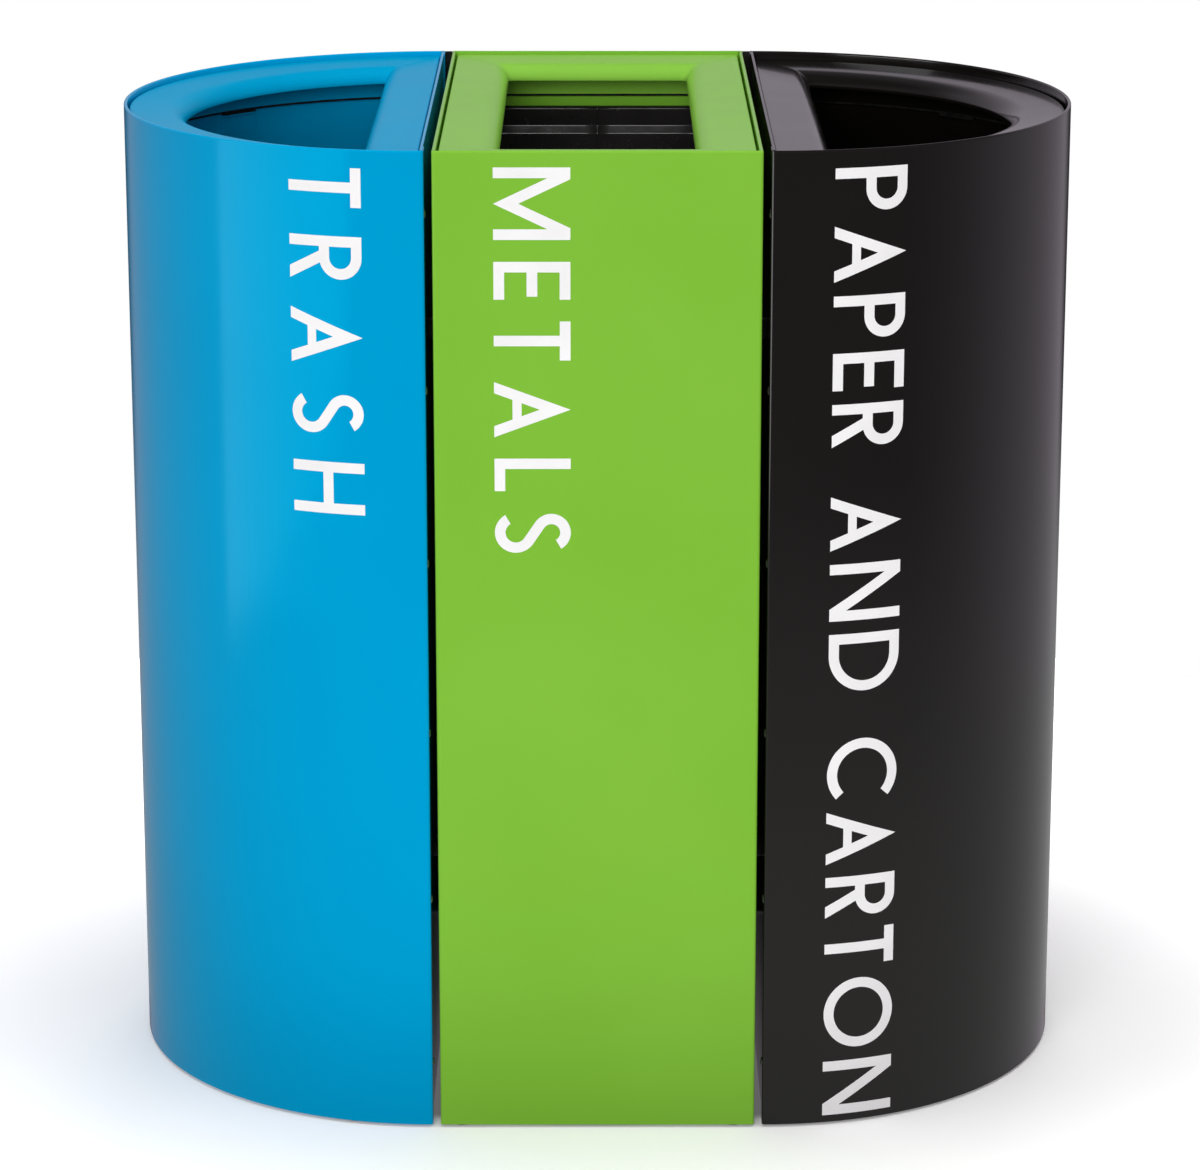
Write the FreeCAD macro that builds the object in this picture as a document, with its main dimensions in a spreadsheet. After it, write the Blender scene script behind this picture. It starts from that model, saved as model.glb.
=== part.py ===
"""Three-bay recycling bin station: two half-round bays either side of a rectangular one.

Each bay is a folded and rolled sheet-steel casing with a riveted closing panel, a welded foot ring, a raised
floor pan, a lift-out liner and a dished lid that drops inside the casing's rim. The bays are bolted together
through spacers. Millimetres, +Z up, fronts towards -Y, origin on the floor under the station's middle.
"""

import FreeCAD, Part
import math
import operator
import os
import Sketcher

from types import SimpleNamespace

from FreeCAD import Placement, Rotation, Vector

SIZES = {
    # the whole station
    "station_depth": 600,  # front to back, and twice the radius of the rounded ends
    "middle_width": 300,
    "casing_height": 942,
    "floor_clearance": 3,  # from the floor up to the casings' lower edges
    "bay_gap": 7,
    # sheet metal
    "gauge": 1.2,
    "bend_radius": 3,
    "return_flange": 24,
    "hem_depth": 12,
    "fit": 0.3,  # between pieces that are slipped together and then welded or riveted
    # blind rivets of the closing panels
    "rivet_radius": 2,
    "rivet_head_radius": 4,
    "rivet_head_height": 1.2,
    "rivet_tail_radius": 3,
    "rivet_tail_height": 2,
    "rivet_end_margin": 60,
    "hole_play": 0.05,
    # foot ring, rubber feet and their screws
    "foot_height": 12,
    "foot_radius": 15,
    "foot_wall_gap": 3.5,  # between a foot's edge and the wall
    "ring_thickness": 3,
    "ring_margin": 1,  # from a foot's edge to the ring's inner edge
    "front_foot_angle": 30,
    "corner_foot_angle": 75,
    "foot_screw_radius": 2.4,
    "foot_screw_head_radius": 4.75,
    "foot_screw_head_height": 3,
    "foot_screw_tail": 3,
    "foot_recess_play": 1.25,  # round the screw's head
    "foot_recess_cover": 2,  # from the screw's head down to the floor
    # raised floor pan
    "pan_top": 128,
    "pan_depth": 30,
    # ledges and rubber pads that carry the lids
    "ledge_margin": 0.6,  # from the pad's inner edge to the ledge's
    "ledge_drop": 20,
    "ledge_gauge": 1.5,
    "ledge_length": 40,
    "ledge_angle": 45,
    "ledge_spacing": 260,
    "pad_height": 2,
    "pad_overhang": 0.8,  # outwards from the lid's skirt
    "pad_width": 3.6,
    # dished lids
    "lid_gap": 2,
    "lid_gauge": 1.2,
    "lid_skirt": 43,
    "lid_land": 3,
    "lid_border": 53.4,  # from the lid's outer edge to its opening, in plan
    "lid_fall": 16.4,  # from the lid's outer edge down to its opening
    "lid_lip": 2.4,
    "lid_corner": 2,
    "opening_corner": 7,
    "left_recess": 5,
    "middle_recess": 3,
    "right_recess": 9,
    # liners
    "liner_clearance": 2,
    "liner_wall": 3,
    "liner_rim_width": 6,
    "liner_rim_lip": 2,
    "liner_rim_depth": 14,
    "liner_band": 18,
    "liner_step_height": 8,
    "liner_step": 6,
    "liner_taper": 14,
    "liner_corner": 30,
    "middle_liner_drop": 55,  # from the casings' tops down to the liners' rims
    "end_liner_drop": 167,
    # bolts that link the bays
    "bolt_radius": 3,
    "bolt_head_radius": 5.25,
    "bolt_head_height": 3.3,
    "bolt_tail": 1,
    "nut_radius": 5.75,
    "nut_height": 5,
    "spacer_radius": 10,
    "link_spacing": 400,
    "lower_link": 250,
    "upper_link_drop": 185,  # from the casings' tops
    "seal_depth": 4,  # front to back, of the strips that close the gaps
}

RIVET_ROWS = 6
HALF_ROUND, RECTANGULAR = "half-round", "rectangular"
BAYS = {"left": HALF_ROUND, "middle": RECTANGULAR, "right": HALF_ROUND}
SIDES = (-1, 1)
EDGE = 1e-9


# ---- lengths --------------------------------------------------------------------------------------------


class Length:
    """A length or an angle: what it comes to now, and its expression in the document."""

    def __init__(self, now, text=None):
        self.now = now
        self.text = text or str(now)

    def join(self, sign, action, other):
        other = other if isinstance(other, Length) else Length(other)
        return Length(action(self.now, other.now), f"({self.text} {sign} {other.text})")

    def __add__(self, other):
        return self.join("+", operator.add, other)

    def __sub__(self, other):
        return self.join("-", operator.sub, other)

    def __mul__(self, other):
        return self.join("*", operator.mul, other)

    def __truediv__(self, other):
        return self.join("/", operator.truediv, other)

    def __rmul__(self, other):
        return Length(other) * self

    def __neg__(self):
        return -1 * self


def cosine(angle):
    return Length(math.cos(math.radians(angle.now)), f"cos({angle.text})")


def sine(angle):
    return Length(math.sin(math.radians(angle.now)), f"sin({angle.text})")


def bind(thing, prop, length):
    thing.setExpression(prop, length.text)


doc = FreeCAD.newDocument("recycling_station")
sheet = doc.addObject("Spreadsheet::Sheet", "sizes")
size = SimpleNamespace()
for row, (alias, number) in enumerate(SIZES.items(), start=1):
    sheet.set(f"A{row}", alias)
    sheet.set(f"B{row}", str(number))
    sheet.setAlias(f"B{row}", alias)
    setattr(size, alias, Length(number, f"<<sizes>>.{alias}"))
doc.recompute()

# Lengths that are worked out from the driving sizes. An inset is measured inwards from a bay's outer faces.
ZERO = Length(0)
RADIUS = size.station_depth / 2
HALF_WIDTH = size.middle_width / 2
CASING_TOP = size.floor_clearance + size.casing_height
RIM = 3 * size.gauge  # flange, closing panel and its hem, one on another
PANEL_INSET = 2 * size.gauge + size.fit  # what stands inside the closing panel
WALL_INSET = size.gauge + size.fit
PANEL_MARGIN = size.gauge + size.bend_radius + size.fit
INNER_BEND = size.bend_radius - size.gauge
LID_INSET = RIM + size.lid_gap
OPENING_INSET = LID_INSET + size.lid_border
FOOT_INSET = WALL_INSET + size.foot_wall_gap + size.foot_radius
FOOT_RECESS = size.foot_screw_head_height + size.foot_recess_cover
RING_INSET = FOOT_INSET + size.foot_radius + size.ring_margin
PAD_INSET = LID_INSET - size.pad_overhang
PAD_INNER = PAD_INSET + size.pad_width
LEDGE_INSET = PAD_INNER + size.ledge_margin
LINER_RIM = LEDGE_INSET + size.liner_clearance
LID_TOP = {
    "left": CASING_TOP - size.left_recess,
    "middle": CASING_TOP - size.middle_recess,
    "right": CASING_TOP - size.right_recess,
}
LINER_TOP = {
    HALF_ROUND: CASING_TOP - size.end_liner_drop,
    RECTANGULAR: CASING_TOP - size.middle_liner_drop,
}

parts = []


# ---- sketches -------------------------------------------------------------------------------------------


def sketch_on(body, plane, height=ZERO):
    """A sketch on one of the body's own origin planes, moved along its normal."""
    sketch = body.newObject("Sketcher::SketchObject", f"{body.Name}_sketch")
    support = [f for f in body.Origin.OriginFeatures if f.Role == plane][0]
    sketch.AttachmentSupport = (support, [""])
    sketch.MapMode = "FlatFace"
    bind(sketch, "AttachmentOffset.Base.z", height)
    return sketch


def plan_sketch(body, height=ZERO):
    return sketch_on(body, "XY_Plane", height)


def constrain(sketch, *facts):
    return sketch.addConstraint(Sketcher.Constraint(*facts))


def dimension(sketch, length, *facts):
    """A dimension that is bound to an expression of the driving sizes."""
    index = constrain(sketch, *facts, length.now)
    name = f"size_{index}"
    sketch.renameConstraint(index, name)
    bind(sketch, f"Constraints.{name}", length)


def place_point(sketch, shape, point, x=None, y=None):
    """Holds a point of a shape at x, y from the sketch's origin."""
    for kind, length, axis in (("DistanceX", x, -2), ("DistanceY", y, -1)):
        if length is None:
            continue
        if abs(length.now) < EDGE:
            constrain(sketch, "PointOnObject", shape, point, axis)
        elif length.now > 0:
            dimension(sketch, length, kind, -1, 1, shape, point)
        else:
            dimension(sketch, -length, kind, shape, point, -1, 1)


def add_line(sketch, start, end):
    return sketch.addGeometry(Part.LineSegment(Vector(*start, 0), Vector(*end, 0)))


def add_circle(sketch, centre, radius, guide=False):
    ring = Part.Circle(Vector(*centre, 0), Vector(0, 0, 1), radius)
    return sketch.addGeometry(ring, guide)


def add_arc(sketch, centre, radius, start, end):
    """An arc anticlockwise from one angle to another, in radians."""
    ring = Part.Circle(Vector(*centre, 0), Vector(0, 0, 1), radius)
    return sketch.addGeometry(Part.ArcOfCircle(ring, start, end))


def add_polygon(sketch, corners):
    count = len(corners)
    lines = [add_line(sketch, corners[n], corners[(n + 1) % count]) for n in range(count)]
    for n in range(count):
        constrain(sketch, "Coincident", lines[n], 2, lines[(n + 1) % count], 1)
    return lines


def circle(sketch, x, y, radius):
    ring = add_circle(sketch, (x.now, y.now), radius.now)
    dimension(sketch, radius, "Radius", ring)
    place_point(sketch, ring, 3, x, y)


def rectangle(sketch, low_x, high_x, low_y, high_y):
    a, b, c, d = (length.now for length in (low_x, high_x, low_y, high_y))
    lines = add_polygon(sketch, [(a, c), (b, c), (b, d), (a, d)])
    for n, line in enumerate(lines):
        constrain(sketch, "Vertical" if n % 2 else "Horizontal", line)
    place_point(sketch, lines[0], 1, low_x, low_y)
    place_point(sketch, lines[2], 1, high_x, high_y)


def hexagon(sketch, x, y, radius):
    """A hexagon with two upright sides, inside a circle of that radius."""
    ring = add_circle(sketch, (x.now, y.now), radius.now, guide=True)
    dimension(sketch, radius, "Radius", ring)
    place_point(sketch, ring, 3, x, y)
    turns = [math.radians(30 + 60 * n) for n in range(6)]
    corners = [
        (x.now + radius.now * math.cos(turn), y.now + radius.now * math.sin(turn)) for turn in turns
    ]
    lines = add_polygon(sketch, corners)
    for line in lines:
        constrain(sketch, "PointOnObject", line, 1, ring)
    for line in lines[1:]:
        constrain(sketch, "Equal", lines[0], line)
    constrain(sketch, "Vertical", lines[5])


def half_round_outline(sketch, inset, corner, closing):
    """A half circle to the left of an upright chord, with rounded corners between them.

    The half circle lies inset inside the bay's curved wall, and the chord lies closing inside its flat side.
    """
    radius, bend = (RADIUS - inset).now, corner.now
    chord = -closing.now
    x = chord - bend
    y = math.sqrt((radius - bend) ** 2 - x**2)
    turn = math.atan2(y, x)
    side = add_line(sketch, (chord, -y), (chord, y))
    back = add_arc(sketch, (x, y), bend, 0, turn)
    wall = add_arc(sketch, (0, 0), radius, turn, 2 * math.pi - turn)
    front = add_arc(sketch, (x, -y), bend, -turn, 0)
    for one, other in ((side, back), (back, wall), (wall, front), (front, side)):
        constrain(sketch, "Tangent", one, 2, other, 1)
    constrain(sketch, "Coincident", wall, 3, -1, 1)
    constrain(sketch, "Vertical", side)
    constrain(sketch, "Equal", back, front)
    dimension(sketch, corner, "Radius", back)
    dimension(sketch, RADIUS - inset, "Radius", wall)
    place_point(sketch, side, 1, x=-closing)


def rectangular_outline(sketch, inset, corner, closing):
    """A rectangle with rounded corners. Its back side lies closing inside the bay's back."""
    right, front, back = HALF_WIDTH - inset, inset - RADIUS, RADIUS - closing
    x, low, high, bend = right.now, front.now, back.now, corner.now
    runs = [
        ((bend - x, low), (x - bend, low), (x - bend, low + bend)),
        ((x, low + bend), (x, high - bend), (x - bend, high - bend)),
        ((x - bend, high), (bend - x, high), (bend - x, high - bend)),
        ((-x, high - bend), (-x, low + bend), (bend - x, low + bend)),
    ]
    lines, bends = [], []
    for n, (start, end, centre) in enumerate(runs):
        turn = (n - 1) * math.pi / 2
        lines.append(add_line(sketch, start, end))
        bends.append(add_arc(sketch, centre, bend, turn, turn + math.pi / 2))
    for n in range(4):
        constrain(sketch, "Tangent", lines[n], 2, bends[n], 1)
        constrain(sketch, "Tangent", bends[n], 2, lines[(n + 1) % 4], 1)
        constrain(sketch, "Vertical" if n % 2 else "Horizontal", lines[n])
    for arc in bends[1:]:
        constrain(sketch, "Equal", bends[0], arc)
    dimension(sketch, corner, "Radius", bends[0])
    place_point(sketch, lines[0], 1, y=front)
    place_point(sketch, lines[1], 1, x=right)
    place_point(sketch, lines[2], 1, y=back)
    place_point(sketch, lines[3], 1, x=-right)


def outline(sketch, shape, inset, corner, closing=None):
    """The bay's plan, that far inside its outer faces. closing is the inset on the closing panel's side."""
    draw = half_round_outline if shape == HALF_ROUND else rectangular_outline
    draw(sketch, inset, corner, closing or inset)


def closing_strip(sketch, shape, near, far, margin):
    """A rectangle along the closing side, from near to far inside it, margin short of its ends."""
    if shape == HALF_ROUND:
        reach = RADIUS - margin
        rectangle(sketch, -far, -near, -reach, reach)
    else:
        reach = HALF_WIDTH - margin
        rectangle(sketch, -reach, reach, RADIUS - far, RADIUS - near)


# ---- features -------------------------------------------------------------------------------------------


def new_body(name, bay):
    """A body in its bay's place. The right bay is the left one turned half round."""
    body = doc.addObject("PartDesign::Body", name)
    body.Label = name
    body.AllowCompound = True
    if bay != "middle":
        side, turn = (-1, 0) if bay == "left" else (1, 180)
        body.Placement = Placement(Vector(0, 0, 0), Rotation(Vector(0, 0, 1), turn))
        bind(body, "Placement.Base.x", side * (HALF_WIDTH + size.bay_gap))
    parts.append(body)
    return body


def pad(body, sketch, length, down=False):
    feature = body.newObject("PartDesign::Pad", f"{body.Name}_pad")
    feature.Profile = sketch
    feature.Reversed = down
    bind(feature, "Length", length)
    doc.recompute()


def pocket(body, sketch, length, up=False):
    """Cuts along the sketch's normal if up, and against it if not."""
    before = body.Shape.Volume
    feature = body.newObject("PartDesign::Pocket", f"{body.Name}_pocket")
    feature.Profile = sketch
    feature.Reversed = up
    bind(feature, "Length", length)
    doc.recompute()
    if not body.Shape.Volume < before:
        raise RuntimeError(f"{feature.Name} cuts nothing")


def loft(body, kind, sketches):
    """A loft with straight sides, which adds or takes away: kind is Additive or Subtractive."""
    feature = body.newObject(f"PartDesign::{kind}Loft", f"{body.Name}_loft")
    feature.Profile = sketches[0]
    feature.Sections = sketches[1:]
    feature.Ruled = True
    doc.recompute()


def ring_pad(body, shape, height, length, outer, inner, down=False):
    """A band between two outlines, each given as (inset, corner) or (inset, corner, closing)."""
    sketch = plan_sketch(body, height)
    outline(sketch, shape, *outer)
    outline(sketch, shape, *inner)
    pad(body, sketch, length, down)


# ---- where things repeat --------------------------------------------------------------------------------


def rivet_places(shape):
    """Across and up, on the plane of the closing side."""
    across = (RADIUS if shape == HALF_ROUND else HALF_WIDTH) - size.return_flange / 2
    pitch = (size.casing_height - 2 * size.rivet_end_margin) / (RIVET_ROWS - 1)
    lowest = size.floor_clearance + size.rivet_end_margin
    return [(side * across, lowest + row * pitch) for side in SIDES for row in range(RIVET_ROWS)]


def link_places():
    across = size.link_spacing / 2
    heights = (size.lower_link, CASING_TOP - size.upper_link_drop)
    return [(side * across, height) for side in SIDES for height in heights]


def foot_places(shape):
    if shape == RECTANGULAR:
        x, y = HALF_WIDTH - FOOT_INSET, RADIUS - FOOT_INSET
        return [(a * x, b * y) for a in SIDES for b in SIDES]
    reach = RADIUS - FOOT_INSET
    round_wall = [
        (-reach * cosine(angle), side * reach * sine(angle))
        for angle in (size.front_foot_angle, size.corner_foot_angle)
        for side in SIDES
    ]
    return [(-FOOT_INSET, ZERO)] + round_wall


def ledge_places(shape):
    y = size.ledge_spacing / 2
    if shape == RECTANGULAR:
        return [(a * HALF_WIDTH, b * y) for a in SIDES for b in SIDES]
    x_round, y_round = RADIUS * cosine(size.ledge_angle), RADIUS * sine(size.ledge_angle)
    return [(ZERO, side * y) for side in SIDES] + [(-x_round, side * y_round) for side in SIDES]


def keep_at_ledges(body, shape, height, length):
    """Cuts a band away everywhere but at the ledges' places."""
    sketch = plan_sketch(body, height)
    beyond = size.station_depth
    rectangle(sketch, -beyond, beyond, -beyond, beyond)
    half = size.ledge_length / 2
    for x, y in ledge_places(shape):
        rectangle(sketch, x - half, x + half, y - half, y + half)
    pocket(body, sketch, length, up=True)


def drawn_at(sketch, places, draw, *measures):
    """One profile at each place."""
    for x, y in places:
        draw(sketch, x, y, *measures)
    return sketch


def closing_sketch(body, shape, out=ZERO):
    """A sketch parallel to the closing side, out beyond its outer face."""
    if shape == HALF_ROUND:
        return sketch_on(body, "YZ_Plane", out)
    return sketch_on(body, "XZ_Plane", -(RADIUS + out))


def outwards(shape):
    """Whether a closing sketch's normal points out of the bay."""
    return shape == HALF_ROUND


def rivet_holes(body, shape, depth):
    sketch = closing_sketch(body, shape)
    drawn_at(sketch, rivet_places(shape), circle, size.rivet_radius + size.hole_play)
    pocket(body, sketch, depth, up=not outwards(shape))


def link_holes(body, out, depth):
    sketch = sketch_on(body, "YZ_Plane", out)
    drawn_at(sketch, link_places(), circle, size.bolt_radius + size.fit)
    pocket(body, sketch, depth)


# ---- the pieces of a bay --------------------------------------------------------------------------------


def make_shell(bay, shape):
    """The wrapped outer sheet, with return flanges on the closing side and a hem round its top."""
    body = new_body(f"{bay}_shell", bay)
    ring_pad(
        body, shape, size.floor_clearance, size.casing_height,
        (ZERO, size.bend_radius), (size.gauge, INNER_BEND),
    )
    gap = plan_sketch(body, size.floor_clearance)
    closing_strip(gap, shape, Length(-1), WALL_INSET, size.return_flange)
    pocket(body, gap, size.casing_height, up=True)
    ring_pad(
        body, shape, CASING_TOP, size.hem_depth,
        (size.gauge, INNER_BEND), (RIM, INNER_BEND), down=True,
    )
    relief = plan_sketch(body, CASING_TOP)
    closing_strip(relief, shape, size.gauge, RIM + size.fit, size.gauge + size.bend_radius)
    pocket(body, relief, size.hem_depth)
    rivet_holes(body, shape, WALL_INSET)
    if shape == RECTANGULAR:
        link_holes(body, size.middle_width, 2 * size.middle_width)


def make_closing_panel(bay, shape):
    """The flat sheet that closes the shell, riveted inside its return flanges, with a hem along its top."""
    name = "back_panel" if shape == RECTANGULAR else "side_panel"
    body = new_body(f"{bay}_{name}", bay)
    flat = plan_sketch(body, size.floor_clearance)
    closing_strip(flat, shape, size.gauge, 2 * size.gauge, PANEL_MARGIN)
    pad(body, flat, size.casing_height)
    hem = plan_sketch(body, CASING_TOP)
    closing_strip(hem, shape, 2 * size.gauge, RIM, PANEL_MARGIN)
    pad(body, hem, size.hem_depth, down=True)
    rivet_holes(body, shape, RIM)
    if shape == HALF_ROUND:
        link_holes(body, ZERO, RIM)


def make_panel_rivets(bay, shape):
    """Blind rivets: a head outside the flange, a shank through both sheets and a swollen tail."""
    body = new_body(f"{bay}_panel_rivets", bay)
    for out, radius, length, grows_out in (
        (ZERO, size.rivet_head_radius, size.rivet_head_height, True),
        (ZERO, size.rivet_radius, 2 * size.gauge, False),
        (-2 * size.gauge, size.rivet_tail_radius, size.rivet_tail_height, False),
    ):
        sketch = closing_sketch(body, shape, out)
        drawn_at(sketch, rivet_places(shape), circle, radius)
        pad(body, sketch, length, down=grows_out != outwards(shape))


def make_foot_ring(bay, shape):
    """The flat ring welded in above the lower edge, which the feet are screwed to."""
    body = new_body(f"{bay}_foot_ring", bay)
    ring_pad(
        body, shape, size.foot_height, size.ring_thickness,
        (WALL_INSET, size.bend_radius, PANEL_INSET), (RING_INSET, size.bend_radius),
    )
    holes = plan_sketch(body, size.foot_height)
    drawn_at(holes, foot_places(shape), circle, size.foot_screw_radius + size.hole_play)
    pocket(body, holes, size.ring_thickness, up=True)


def make_feet(bay, shape):
    """Rubber discs with a recess underneath for the screw's head."""
    body = new_body(f"{bay}_feet", bay)
    discs = drawn_at(plan_sketch(body), foot_places(shape), circle, size.foot_radius)
    pad(body, discs, size.foot_height)
    for radius, depth in (
        (size.foot_screw_head_radius + size.foot_recess_play, FOOT_RECESS),
        (size.foot_screw_radius + size.hole_play, size.foot_height),
    ):
        holes = drawn_at(plan_sketch(body), foot_places(shape), circle, radius)
        pocket(body, holes, depth, up=True)


def make_foot_screws(bay, shape):
    body = new_body(f"{bay}_foot_screws", bay)
    shank = size.foot_height - FOOT_RECESS + size.ring_thickness + size.foot_screw_tail
    for radius, length, down in (
        (size.foot_screw_head_radius, size.foot_screw_head_height, True),
        (size.foot_screw_radius, shank, False),
    ):
        sketch = plan_sketch(body, FOOT_RECESS)
        drawn_at(sketch, foot_places(shape), circle, radius)
        pad(body, sketch, length, down)


def make_floor_pan(bay, shape):
    """The raised floor, a tray turned upside down, welded in by its flange."""
    body = new_body(f"{bay}_floor_pan", bay)
    tray = plan_sketch(body, size.pan_top)
    outline(tray, shape, WALL_INSET, size.bend_radius, PANEL_INSET)
    pad(body, tray, size.pan_depth, down=True)
    hollow = plan_sketch(body, size.pan_top - size.gauge)
    outline(hollow, shape, WALL_INSET + size.gauge, INNER_BEND, PANEL_INSET + size.gauge)
    pocket(body, hollow, size.pan_depth)


def ledge_top(bay):
    return LID_TOP[bay] - size.lid_skirt - size.pad_height


def make_lid_ledges(bay, shape):
    """Short angle brackets on the walls, which carry the lid."""
    body = new_body(f"{bay}_lid_ledges", bay)
    top, corner, gauge = ledge_top(bay), size.bend_radius, size.ledge_gauge
    wall = (WALL_INSET, corner, PANEL_INSET)
    ring_pad(body, shape, top, gauge, wall, (LEDGE_INSET, corner), down=True)
    ring_pad(
        body, shape, top - gauge, size.ledge_drop - gauge,
        wall, (WALL_INSET + gauge, corner, PANEL_INSET + gauge), down=True,
    )
    keep_at_ledges(body, shape, top - size.ledge_drop, size.ledge_drop)


def make_lid_pads(bay, shape):
    """Rubber strips on the ledges, under the lid's skirt."""
    body = new_body(f"{bay}_lid_pads", bay)
    top, corner = ledge_top(bay), size.bend_radius
    ring_pad(body, shape, top, size.pad_height, (PAD_INSET, corner), (PAD_INNER, corner))
    keep_at_ledges(body, shape, top, size.pad_height)


def make_lid(bay, shape):
    """A skirt, a dish that falls from it to the opening, and a turned-down lip."""
    body = new_body(f"{bay}_lid", bay)
    top = LID_TOP[bay]
    gauge, corner = size.lid_gauge, size.lid_corner
    outer, brow = (LID_INSET, corner), (LID_INSET + size.lid_land, corner)
    opening = (OPENING_INSET, size.opening_corner)

    def dish(kind, below):
        sections = []
        for edge, height in ((brow, top), (opening, top - size.lid_fall)):
            section = plan_sketch(body, height - below)
            outline(section, shape, *edge)
            sections.append(section)
        loft(body, kind, sections)

    ring_pad(body, shape, top, size.lid_skirt, outer, (LID_INSET + gauge, corner), down=True)
    land = (LID_INSET + 2 * size.lid_land, corner)
    ring_pad(body, shape, top, gauge, outer, land, down=True)
    dish("Additive", gauge)
    lip = (OPENING_INSET - gauge, size.opening_corner)
    ring_pad(body, shape, top - size.lid_fall, size.lid_lip, lip, opening, down=True)
    dish("Subtractive", ZERO)
    mouth = plan_sketch(body, top)
    outline(mouth, shape, *opening)
    pocket(body, mouth, size.lid_skirt)


def make_liner(bay, shape):
    """A tapered tub with a stepped shoulder under its rim."""
    body = new_body(f"{bay}_liner", bay)
    corner = size.liner_corner
    rim = LINER_TOP[shape]
    shoulder = rim - size.liner_band
    waist = shoulder - size.liner_step_height
    band = LINER_RIM + size.liner_rim_width
    neck = band + size.liner_step

    def tub(kind, wall, floor):
        sections = []
        for height, inset in (
            (size.pan_top + floor, neck + size.liner_taper),
            (waist, neck),
            (shoulder, band),
            (rim, band),
        ):
            section = plan_sketch(body, height)
            outline(section, shape, inset + wall, corner)
            sections.append(section)
        loft(body, kind, sections)

    tub("Additive", ZERO, ZERO)
    flange, mouth = (LINER_RIM, corner), (band + size.liner_wall, corner)
    ring_pad(body, shape, rim, size.liner_wall, flange, mouth, down=True)
    lip = (LINER_RIM + size.liner_rim_lip, corner)
    ring_pad(body, shape, rim, size.liner_rim_depth, flange, lip, down=True)
    tub("Subtractive", size.liner_wall, size.liner_wall)


# ---- what links the bays --------------------------------------------------------------------------------


def make_link_bolts(bay):
    """From inside a half-round bay, through its panel, the spacer and the middle bay's wall."""
    body = new_body(f"{bay}_link_bolts", bay)
    seat = -2 * size.gauge
    shank = RIM + size.bay_gap + size.nut_height + size.bolt_tail
    for start, length, radius in (
        (seat - size.bolt_head_height, size.bolt_head_height, size.bolt_head_radius),
        (seat, shank, size.bolt_radius),
    ):
        sketch = sketch_on(body, "YZ_Plane", start)
        drawn_at(sketch, link_places(), circle, radius)
        pad(body, sketch, length)


def make_threaded_on(name, bay, start, length, draw, radius):
    """Pieces that the link bolts pass through: nuts or spacers."""
    body = new_body(f"{bay}_{name}", bay)
    sketch = sketch_on(body, "YZ_Plane", start)
    drawn_at(sketch, link_places(), draw, radius)
    drawn_at(sketch, link_places(), circle, size.bolt_radius + size.hole_play)
    pad(body, sketch, length)


def make_links(bay):
    make_link_bolts(bay)
    wall = size.bay_gap + size.gauge
    make_threaded_on("link_nuts", bay, wall, size.nut_height, hexagon, size.nut_radius)
    make_threaded_on("link_spacers", bay, -size.gauge, wall, circle, size.spacer_radius)


def make_gap_seal(bay):
    """A rubber strip pressed between two bays along their back corners, which closes the gap."""
    body = new_body(f"{bay}_gap_seal", bay)
    strip = plan_sketch(body, size.floor_clearance)
    far = RADIUS - size.bend_radius - size.fit
    near = far - size.seal_depth
    # The right bay is turned half round, so its back is on the other side of its own frame.
    low, high = (near, far) if bay == "left" else (-far, -near)
    rectangle(strip, ZERO, size.bay_gap, low, high)
    pad(body, strip, size.casing_height)


# ---- the station ----------------------------------------------------------------------------------------


for bay, shape in BAYS.items():
    make_shell(bay, shape)
    make_closing_panel(bay, shape)
    make_panel_rivets(bay, shape)
    make_foot_ring(bay, shape)
    make_feet(bay, shape)
    make_foot_screws(bay, shape)
    make_floor_pan(bay, shape)
    make_lid_ledges(bay, shape)
    make_lid_pads(bay, shape)
    make_lid(bay, shape)
    make_liner(bay, shape)
    if shape == HALF_ROUND:
        make_links(bay)
        make_gap_seal(bay)

doc.recompute()
for thing in doc.Objects:
    if {"Invalid", "Error"} & set(thing.State):
        raise RuntimeError(f"{thing.Name} failed: {thing.State}")
for body in parts:
    if body.Shape.isNull() or not body.Shape.isValid() or not body.Shape.Solids:
        raise RuntimeError(f"{body.Label} has no valid solid")

os.makedirs("parts", exist_ok=True)
for body in parts:
    body.Shape.exportStep(f"parts/{body.Label}.step")
    print(f"{body.Label}: {len(body.Shape.Solids)} solids, {body.Shape.Volume / 1000:.1f} cm3")
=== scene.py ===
"""Looks of the recycling bin station: gloss powder-coated casings and lids, moulded liners, vinyl words.

Sizes are millimetres and become metres where a mesh is made, apart from the studio's, which are metres. Each
bay is drawn in plan as its own outline, so many millimetres inside its outer faces.
"""

import math

import bmesh
import bpy

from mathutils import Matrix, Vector
from mathutils.geometry import tessellate_polygon


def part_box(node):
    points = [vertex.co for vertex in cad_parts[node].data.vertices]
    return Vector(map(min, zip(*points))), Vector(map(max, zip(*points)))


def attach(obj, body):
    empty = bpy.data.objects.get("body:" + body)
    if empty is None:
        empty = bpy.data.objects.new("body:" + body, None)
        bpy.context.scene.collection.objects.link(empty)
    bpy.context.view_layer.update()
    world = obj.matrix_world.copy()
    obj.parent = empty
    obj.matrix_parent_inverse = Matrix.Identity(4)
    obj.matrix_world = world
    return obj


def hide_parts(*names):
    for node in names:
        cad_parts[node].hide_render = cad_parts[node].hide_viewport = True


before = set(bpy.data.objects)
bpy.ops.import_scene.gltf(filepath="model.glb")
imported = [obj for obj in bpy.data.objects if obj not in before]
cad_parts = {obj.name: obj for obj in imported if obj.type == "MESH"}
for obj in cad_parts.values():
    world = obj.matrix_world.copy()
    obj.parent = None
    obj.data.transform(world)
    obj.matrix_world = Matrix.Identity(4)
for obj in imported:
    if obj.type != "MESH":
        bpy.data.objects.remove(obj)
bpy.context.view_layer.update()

MM = 0.001
GAUGE = 1.2  # the sheet's
FILM = 0.1  # the words' film, and how far the painted face lies behind the casing's nominal face
BEND = 3  # outer radius of a casing's upright bends
LEAST_BEND = 1.0  # radius that stays on the inside of one
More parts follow.
